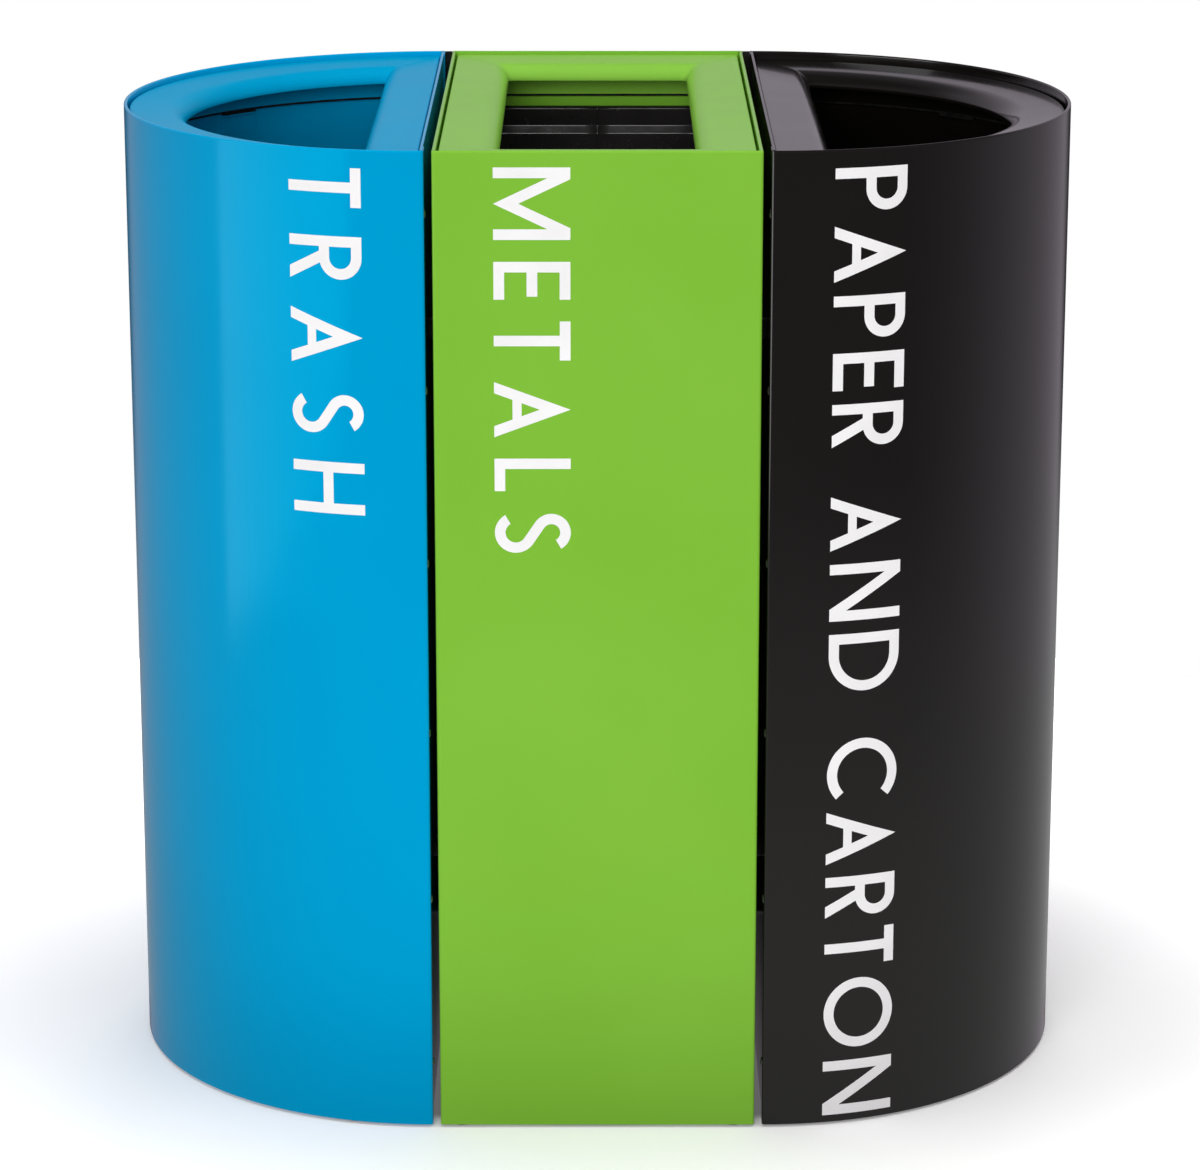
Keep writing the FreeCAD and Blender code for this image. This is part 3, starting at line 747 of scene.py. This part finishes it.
def link_bolt(length):
    """A button-head bolt with a hexagon recess."""
    return [
        (0, 1.6), (1.7, 1.6), (1.75, 0.25), (2.0, 0), (3.2, 0), (4.4, 0.6), (5.1, 1.8), (5.25, 2.6),
        (5.25, 3.3), (3.0, 3.3), (3.0, length - 0.5), (2.6, length), (0, length),
    ]


def make_rivets():
    rivet = turned("rivet_pattern", RIVET)
    turns = {"left": (0, QUARTER, 0), "middle": (-QUARTER, 0, 0), "right": (0, -QUARTER, 0)}
    backs = {"left": (SEAT_SHIFT, 0, 0), "middle": (0, SEAT_SHIFT, 0), "right": (-SEAT_SHIFT, 0, 0)}
    for n, bay in enumerate(BAYS):
        make_set(f"{bay}_blind_rivets", f"{bay}_panel_rivets", "casings", rivet, "rivet_steel", turns[bay],
                 backs[bay], seed=11 + n)
    bpy.data.objects.remove(rivet)


def make_feet():
    foot = ring_of("foot_pattern", FOOT)
    screw = turned("foot_screw_pattern", FOOT_SCREW, socket=(1, 2, 3))
    for n, bay in enumerate(BAYS):
        low, high = limits(f"{bay}_feet")
        make_set(f"{bay}_rubber_feet", f"{bay}_feet", "casings", foot, "foot_rubber",
                 shift=(0, 0, (low.z - high.z) / 2), seed=21 + n)
        low, high = limits(f"{bay}_foot_screws")
        make_set(f"{bay}_foot_pan_screws", f"{bay}_foot_screws", "casings", screw, "zinc_steel",
                 shift=(0, 0, (low.z - high.z) / 2), seed=31 + n)
    bpy.data.objects.remove(foot)
    bpy.data.objects.remove(screw)


def make_links():
    """The bolts and spacers that hold the bays in a row."""
    spacer = ring_of("spacer_pattern", SPACER)
    for n, (bay, out) in enumerate((("left", 1), ("right", -1))):
        low, high = limits(f"{bay}_link_bolts")
        length = high.x - low.x
        bolt = turned(f"{bay}_bolt_pattern", link_bolt(length), socket=(1, 2))
        turn = (0, out * QUARTER, 0)
        make_set(f"{bay}_button_bolts", f"{bay}_link_bolts", "casings", bolt, "zinc_steel", turn,
                 (-out * length / 2, 0, 0), seed=41 + n)
        make_set(f"{bay}_nylon_spacers", f"{bay}_link_spacers", "casings", spacer, "spacer_plastic", turn,
                 seed=51 + n)
        bpy.data.objects.remove(bolt)
    bpy.data.objects.remove(spacer)


# ---- the words on the fronts ---------------------------------------------------------------------------

CAP = 70  # the capitals' height
STROKE = 0.14  # of the capitals' height
SPACE = 0.3  # of the capitals' height
FLAT_STRIP = 6  # the widest strip of film that is laid flat on a curved wall
TOUCH = 0.02  # how far the film's back lies in the paint, so that no light gets between


def bowl_letter(leg):
    """P, or R with its leg."""
    w, r = STROKE, 0.29
    cx, cy = 0.28, 1 - r
    end = math.degrees(math.asin(-0.28 / r)) if leg else -90
    outer = [(0, 0), (0, 1), *arc(cx, cy, r, 90, end, 24, last=True)]
    if leg:
        outer += [(0.58, 0), (0.58 - 0.162, 0), (w + 0.06, 1 - 2 * r)]
    outer += [(w, 1 - 2 * r), (w, 0)]
    hole = [(w, cy - r + w), (w, 1 - w), *arc(cx, cy, r - w, 90, -90, 20, last=True)]
    return 0.58, [outer, hole]


def letter_a():
    wide, w, bar = 0.74, STROKE, 0.24
    half = wide / 2
    s = w * math.hypot(1, half)
    def leg(y):
        return s + half * y
    foot = [(s, 0), (leg(bar), bar), (wide - leg(bar), bar), (wide - s, 0)]
    high = bar + 0.85 * w
    hole = [(leg(high), high), (wide - leg(high), high), (half, 1 - 2 * s / wide)]
    return wide, [[(0, 0), (half, 1), (wide, 0), *foot[::-1]], hole]


def letter_s():
    """A ribbon along two arcs."""
    upper, lower, x = 0.185, 0.205, 0.275
    tops, lows = 1 - STROKE / 2 - upper, STROKE / 2 + lower
    line = [(p, 30 + 206 * n / 28, 1) for n, p in enumerate(arc(x, tops, upper, 30, 236, 28, last=True))]
    line += [(p, 56 - 206 * n / 28, -1) for n, p in enumerate(arc(x, lows, lower, 56, -150, 28, last=True))]
    sides = [[], []]
    for (px, py), turn, way in line:
        out = Vector((math.cos(math.radians(turn)), math.sin(math.radians(turn)))) * STROKE / 2 * way
        sides[0].append((px + out.x, py + out.y))
        sides[1].append((px - out.x, py - out.y))
    return 0.55, [sides[0] + sides[1][::-1]]


def straight_letter(name):
    w = STROKE
    if name == "T":
        half = 0.26
        shape = [(0, 1 - w), (0, 1), (2 * half, 1), (2 * half, 1 - w), (half + w / 2, 1 - w)]
        return 2 * half, [shape + [(half + w / 2, 0), (half - w / 2, 0), (half - w / 2, 1 - w)]]
    if name == "H":
        x, low, high = 0.70, 0.5 - w / 2, 0.5 + w / 2
        shape = [(0, 0), (0, 1), (w, 1), (w, high), (x - w, high), (x - w, 1), (x, 1), (x, 0), (x - w, 0)]
        return x, [shape + [(x - w, low), (w, low), (w, 0)]]
    if name == "L":
        return 0.44, [[(0, 0), (0, 1), (w, 1), (w, w), (0.44, w), (0.44, 0)]]
    if name == "E":
        x, low, high = 0.50, 0.5 - w / 2, 0.5 + w / 2
        shape = [(0, 0), (0, 1), (x, 1), (x, 1 - w), (w, 1 - w), (w, high), (x - 0.04, high)]
        return x, [shape + [(x - 0.04, low), (w, low), (w, w), (x, w), (x, 0)]]
    if name == "N":
        x = 0.78
        s = w * math.hypot(1, x - 0.16)
        t = w / (x - s)
        shape = [(0, 0), (0, 1), (s, 1), (x - w, t), (x - w, 1), (x, 1), (x, 0), (x - s, 0)]
        return x, [shape + [(w, 1 - t), (w, 0)]]
    x = 0.95  # M
    s = w * math.hypot(1, x / 2)
    q, v = 1 - 2 * w / x, 2 * s / x
    shape = [(0, 0), (0, 1), (s, 1), (x / 2, v), (x - s, 1), (x, 1), (x, 0), (x - w, 0), (x - w, q)]
    return x, [shape + [(x / 2, 0), (w, q), (w, 0)]]


def round_letter(name):
    w = STROKE
    if name == "O":
        return 1.0, [arc(0.5, 0.5, 0.5, 0, 360, 72), arc(0.5, 0.5, 0.5 - w, 0, 360, 60)]
    if name == "C":
        outer = arc(0.5, 0.5, 0.5, 48, 312, 60, last=True)
        return 0.835, [outer + arc(0.5, 0.5, 0.5 - w, 312, 48, 60, last=True)]
    outer = [(0, 0), (0, 1), *arc(0.30, 0.5, 0.5, 90, -90, 44, last=True)]  # D
    return 0.80, [outer, [(w, w), (w, 1 - w), *arc(0.30, 0.5, 0.5 - w, 90, -90, 40, last=True)]]


def letter(name):
    """(width, closed contours) of a capital one unit high: the outer edge, then any hole."""
    if name in "PR":
        return bowl_letter(name == "R")
    if name in "OCD":
        return round_letter(name)
    if name == "A":
        return letter_a()
    return letter_s() if name == "S" else straight_letter(name)


def word_mesh(word, length):
    """The word flat: x along its reading direction from 0 to length, y up from its baseline."""
    glyphs = [letter(name) if name != " " else (SPACE, []) for name in word]
    gap = (length / CAP - sum(wide for wide, _ in glyphs)) / (len(glyphs) - 1)
    shape = bmesh.new()
    along = 0
    for wide, contours in glyphs:
        loops = [[Vector(((along + x) * CAP, y * CAP, 0)) for x, y in contour] for contour in contours]
        if loops:
            corners = [point for loop in loops for point in loop]
            verts = [shape.verts.new(corner) for corner in corners]
            for triangle in tessellate_polygon(loops):
                if len(set(triangle)) == 3:
                    shape.faces.new([verts[n] for n in triangle])
        along += wide + gap
    bmesh.ops.remove_doubles(shape, verts=shape.verts, dist=1e-4)
    return shape


def lay_words(name, word, length, top, baseline, on_wall, curved):
    """Film with the word reading downwards from top.

    baseline is its place across the wall, and on_wall turns (across, depth) into a plan point.
    """
    shape = word_mesh(word, length)
    if curved:
        for height in range(FLAT_STRIP, CAP, FLAT_STRIP):
            geometry = [*shape.verts, *shape.edges, *shape.faces]
            cut = {"plane_co": (0, height, 0), "plane_no": (0, 1, 0), "dist": 1e-5}
            bmesh.ops.bisect_plane(shape, geom=geometry, **cut)
    bmesh.ops.recalc_face_normals(shape, faces=shape.faces)
    shape.verts.index_update()
    count = len(shape.verts)
    points = []
    for depth in (0.0, FILM + TOUCH):
        for vert in shape.verts:
            points.append((*on_wall(baseline + vert.co.y, depth), top - vert.co.x))
    faces = []
    for face in shape.faces:
        ring = [vert.index for vert in face.verts]
        faces += [ring, [n + count for n in reversed(ring)]]
    for edge in shape.edges:
        if len(edge.link_faces) == 1:
            a, b = (vert.index for vert in edge.verts)
            faces.append([a, b, b + count, a + count])
    shape.free()
    thing = make_object(name, points, faces, sharp=20)
    ride(thing, "casings", VINYL)


def round_wall(bay):
    """Maps arc length from the flat side's front end, and depth behind the wall's face, to a plan point."""
    radius = BAYS[bay]["radius"]
    side = -1 if bay == "left" else 1
    def on_wall(along, depth):
        turn = along / radius
        reach = radius - depth
        return BAYS[bay]["flat"] + side * reach * math.sin(turn), -reach * math.cos(turn)
    return on_wall


def make_words():
    """A word runs down its wall from top for its length, and its baseline is a place across the wall."""
    left_wall, left_foot = round_wall("left"), 127.5
    lay_words("left_word", "TRASH", length=324, top=928, baseline=0,
              on_wall=lambda across, depth: left_wall(left_foot - across, depth), curved=True)
    front = BAYS["middle"]["radius"]
    lay_words("middle_word", "METALS", length=360, top=930, baseline=-94.5,
              on_wall=lambda across, depth: (across, depth - front), curved=False)
    lay_words("right_word", "PAPER AND CARTON", length=918, top=928, baseline=58.5,
              on_wall=round_wall("right"), curved=True)


# ---- what the CAD keeps --------------------------------------------------------------------------------


def dress_cad_nodes():
    """Materials for the CAD nodes that stay as they are."""
    finishes = {}
    for bay, paint in PAINTS.items():
        panel = "back_panel" if bay == "middle" else "side_panel"
        for piece in (panel, "foot_ring", "floor_pan", "lid_ledges"):
            finishes[f"{bay}_{piece}"] = paint
        finishes[f"{bay}_lid_pads"] = "foot_rubber"
        # The gap seals close the backs of the gaps between the bays in black rubber, which paints the shade
        # in the gaps.
        if bay != "middle":
            finishes[f"{bay}_gap_seal"] = "foot_rubber"
    finishes["left_link_nuts"] = finishes["right_link_nuts"] = "zinc_steel"
    for node, slot in finishes.items():
        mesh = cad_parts[node].data
        mesh.materials.clear()
        mesh.materials.append(MATERIALS[slot])


# ---- studio --------------------------------------------------------------------------------------------

SHEEN = 0.34  # the strength of the floor's light in the gloss
FOOTPRINT = 0.3  # the station's edge on the oval scale of from_foot
STRETCH = 1.5  # of that oval, along the row of bays
FLOOR_REACH = 1.4
SHEEN_REACH = 3.3
SHEEN_HEIGHT = 0.001


def make_camera():
    data = bpy.data.cameras.new("camera")
    data.sensor_width = 36
    data.lens = 129.18
    data.shift_x, data.shift_y = 0.0025, -0.05
    data.clip_start, data.clip_end = 0.05, 50
    camera = put_in_scene("camera", data)
    camera.location = (-0.0004, -4.1338, 1.6162)
    camera.rotation_euler = (math.radians(75.1055), 0, 0)
    bpy.context.scene.camera = camera


def softbox(name, place, aim, size, watts, diffuse=True, glossy=True, shown_in=None):
    """A rectangular light that is never seen itself. shown_in is a collection that alone receives it."""
    data = bpy.data.lights.new(name, "AREA")
    data.shape = "RECTANGLE"
    data.size, data.size_y = size
    data.energy = watts
    lamp = put_in_scene(name, data)
    lamp.location = place
    lamp.rotation_euler = (Vector(aim) - Vector(place)).to_track_quat("-Z", "Y").to_euler()
    lamp.visible_camera, lamp.visible_diffuse, lamp.visible_glossy = False, diffuse, glossy
    if shown_in is not None:
        lamp.light_linking.receiver_collection = shown_in


def make_world():
    """A white room to look at, which the paint mirrors as a dim one with a grey backdrop."""
    world = bpy.data.worlds.new("studio")
    bpy.context.scene.world = world
    world.use_nodes = True
    tree = world.node_tree
    tree.nodes.clear()
    way = add(tree, "ShaderNodeTexCoord").outputs["Generated"]
    parts = add(tree, "ShaderNodeSeparateXYZ", inputs={"Vector": way}).outputs
    # Below the horizon it brightens from the front to the back, and is dark right behind the station.
    floor = ramp(tree, parts["Y"], -0.7, 0.4, 0.10, 0.34)
    floor = times(tree, floor, ramp(tree, parts["Y"], 0.86, 0.95, 1.0, 0.12))
    # Above it, it brightens to the back too, and dims towards the ceiling.
    backdrop = ramp(tree, parts["Y"], 0.05, 0.5, 0.16, 0.40)
    backdrop = times(tree, backdrop, ramp(tree, parts["Z"], 0.45, 0.75, 1.0, 0.35))
    above = ramp(tree, parts["Z"], -0.04, 0.04, 0.0, 1.0)
    room = add(tree, "ShaderNodeMix", {"data_type": "FLOAT"}, {0: above, 2: floor, 3: backdrop}).outputs[0]
    seen = add(tree, "ShaderNodeLightPath").outputs["Is Camera Ray"]
    strength = add(tree, "ShaderNodeMix", {"data_type": "FLOAT"}, {0: seen, 2: room, 3: 1.0}).outputs[0]
    # What is mirrored has a faint violet cast, which shows in the black paint.
    tint = blend_colours(tree, seen, (1.0, 0.9, 1.03, 1), (1, 1, 1, 1))
    glow = add(tree, "ShaderNodeBackground", inputs={"Color": tint, "Strength": strength})
    add(tree, "ShaderNodeOutputWorld", inputs={"Surface": glow.outputs["Background"]})


def from_foot(tree):
    """How far out a place on the floor is, on an oval scale that is FOOTPRINT at the station's edge."""
    place = add(tree, "ShaderNodeTexCoord").outputs["Object"]
    inputs = {0: place, 1: (1 / STRETCH, 1, 0)}
    plan = add(tree, "ShaderNodeVectorMath", {"operation": "MULTIPLY"}, inputs).outputs[0]
    return add(tree, "ShaderNodeVectorMath", {"operation": "LENGTH"}, {0: plan}).outputs["Value"]


def floor_with_painted_shadow():
    """Seamless white studio vinyl: pale and matt, with a painted glow of its own, and a painted shadow, a
    dark base colour, under the station itself.
    """
    material, tree = new_material("seamless_floor")
    away = from_foot(tree)
    white = mottled(tree, 300, 3, "F8F8F8", "FCFCFB")
    outside = ramp(tree, away, FOOTPRINT - 0.015, FOOTPRINT, 0, 1)
    # Its painted glow is weak at the station, where the painted shadow lies, and strong where it meets the
    # white room.
    inputs = {
        # The dark colour under the station is a painted shadow, which also keeps the floor seen through the
        # gaps between the bays dark.
        "Base Color": blend_colours(tree, outside, linear("181818"), white),
        "Roughness": 0.8,
        "Specular IOR Level": 0.1,
        "Emission Color": (1, 1, 1, 1),
        "Emission Strength": ramp(tree, away, FOOTPRINT + 0.02, 0.85, 0.12, 0.7),
    }
    finish_material(tree, inputs)
    return material


def lit_floor():
    """The floor's light as the gloss mirrors it: brightest at the station's foot, fading outwards."""
    material, tree = new_material("lit_floor")
    place = add(tree, "ShaderNodeTexCoord").outputs["Object"]
    away = add(tree, "ShaderNodeVectorMath", {"operation": "LENGTH"}, {0: place}).outputs["Value"]
    fading = ramp(tree, away, 0.6, SHEEN_REACH, 1.0, 0.0)
    outside = ramp(tree, from_foot(tree), FOOTPRINT, FOOTPRINT + 0.04, 0.0, 1.0)
    glow = add(tree, "ShaderNodeEmission", inputs={"Strength": SHEEN})
    clear = add(tree, "ShaderNodeBsdfTransparent")
    inputs = {0: times(tree, fading, outside), 1: clear.outputs[0], 2: glow.outputs[0]}
    mixed = add(tree, "ShaderNodeMixShader", inputs=inputs)
    add(tree, "ShaderNodeOutputMaterial", inputs={"Surface": mixed.outputs[0]})
    return material


def floor_disc(name, reach, height, material, steps=96):
    mesh = bpy.data.meshes.new(name)
    rim = [(x, y, height) for x, y in arc(0, 0, reach, 0, 360, steps)]
    mesh.from_pydata(rim, [], [tuple(range(steps))])
    mesh.materials.append(material)
    disc = put_in_scene(name, mesh)
    return disc


def make_studio():
    """The camera sees one floor, which carries the shadows and a painted shadow under the station, and the
    gloss mirrors another, the sheen.
    """
    floor = floor_disc("studio_floor", FLOOR_REACH, 0, floor_with_painted_shadow())
    floor.visible_glossy = floor.visible_diffuse = False
    make_world()
    softbox("key", (-0.8, -4.6, 2.0), (0, 0, 0.5), (2.5, 2.0), 122, glossy=False)
    softbox("floor_fill", (0, -1.2, 0.01), (0, -1.2, 1), (3.0, 1.4), 10.5, glossy=False)
    softbox("left_fill", (-3.4, -1.4, 1.4), (-0.4, 0, 0.5), (2.0, 2.0), 18, glossy=False)
    softbox("right_fill", (3.4, -1.4, 1.4), (0.4, 0, 0.5), (2.0, 2.0), 20, glossy=False)
    softbox("back_fill", (0.6, 4.2, 1.8), (0, 0, 0.4), (2.4, 2.0), 60, glossy=False)
    softbox("left_mirror", (-1.85, -1.71, 1.23), (0, -1.71, 1.23), (2.66, 2.36), 47, diffuse=False,
            shown_in=WALLS)
    softbox("overhead", (0.2, -0.8, 5.5), (0.2, -0.8, 0), (5.0, 5.2), 200, glossy=False)
    softbox("liner_light", (0.0, -2.2, 4.4), (0, 0.2, 0.85), (2.5, 3.0), 190, diffuse=False,
            shown_in=LINERS)
    sheen = floor_disc("floor_sheen", SHEEN_REACH, SHEEN_HEIGHT, lit_floor())
    sheen.visible_camera = sheen.visible_diffuse = sheen.visible_shadow = False
    bpy.context.scene.view_settings.view_transform = "Standard"


for bay in BAYS:
    make_casing(bay)
    make_lid(bay)
    make_shadow_strip(bay)
    make_liner(bay)
make_rivets()
make_feet()
make_links()
make_words()
dress_cad_nodes()
make_camera()
make_studio()
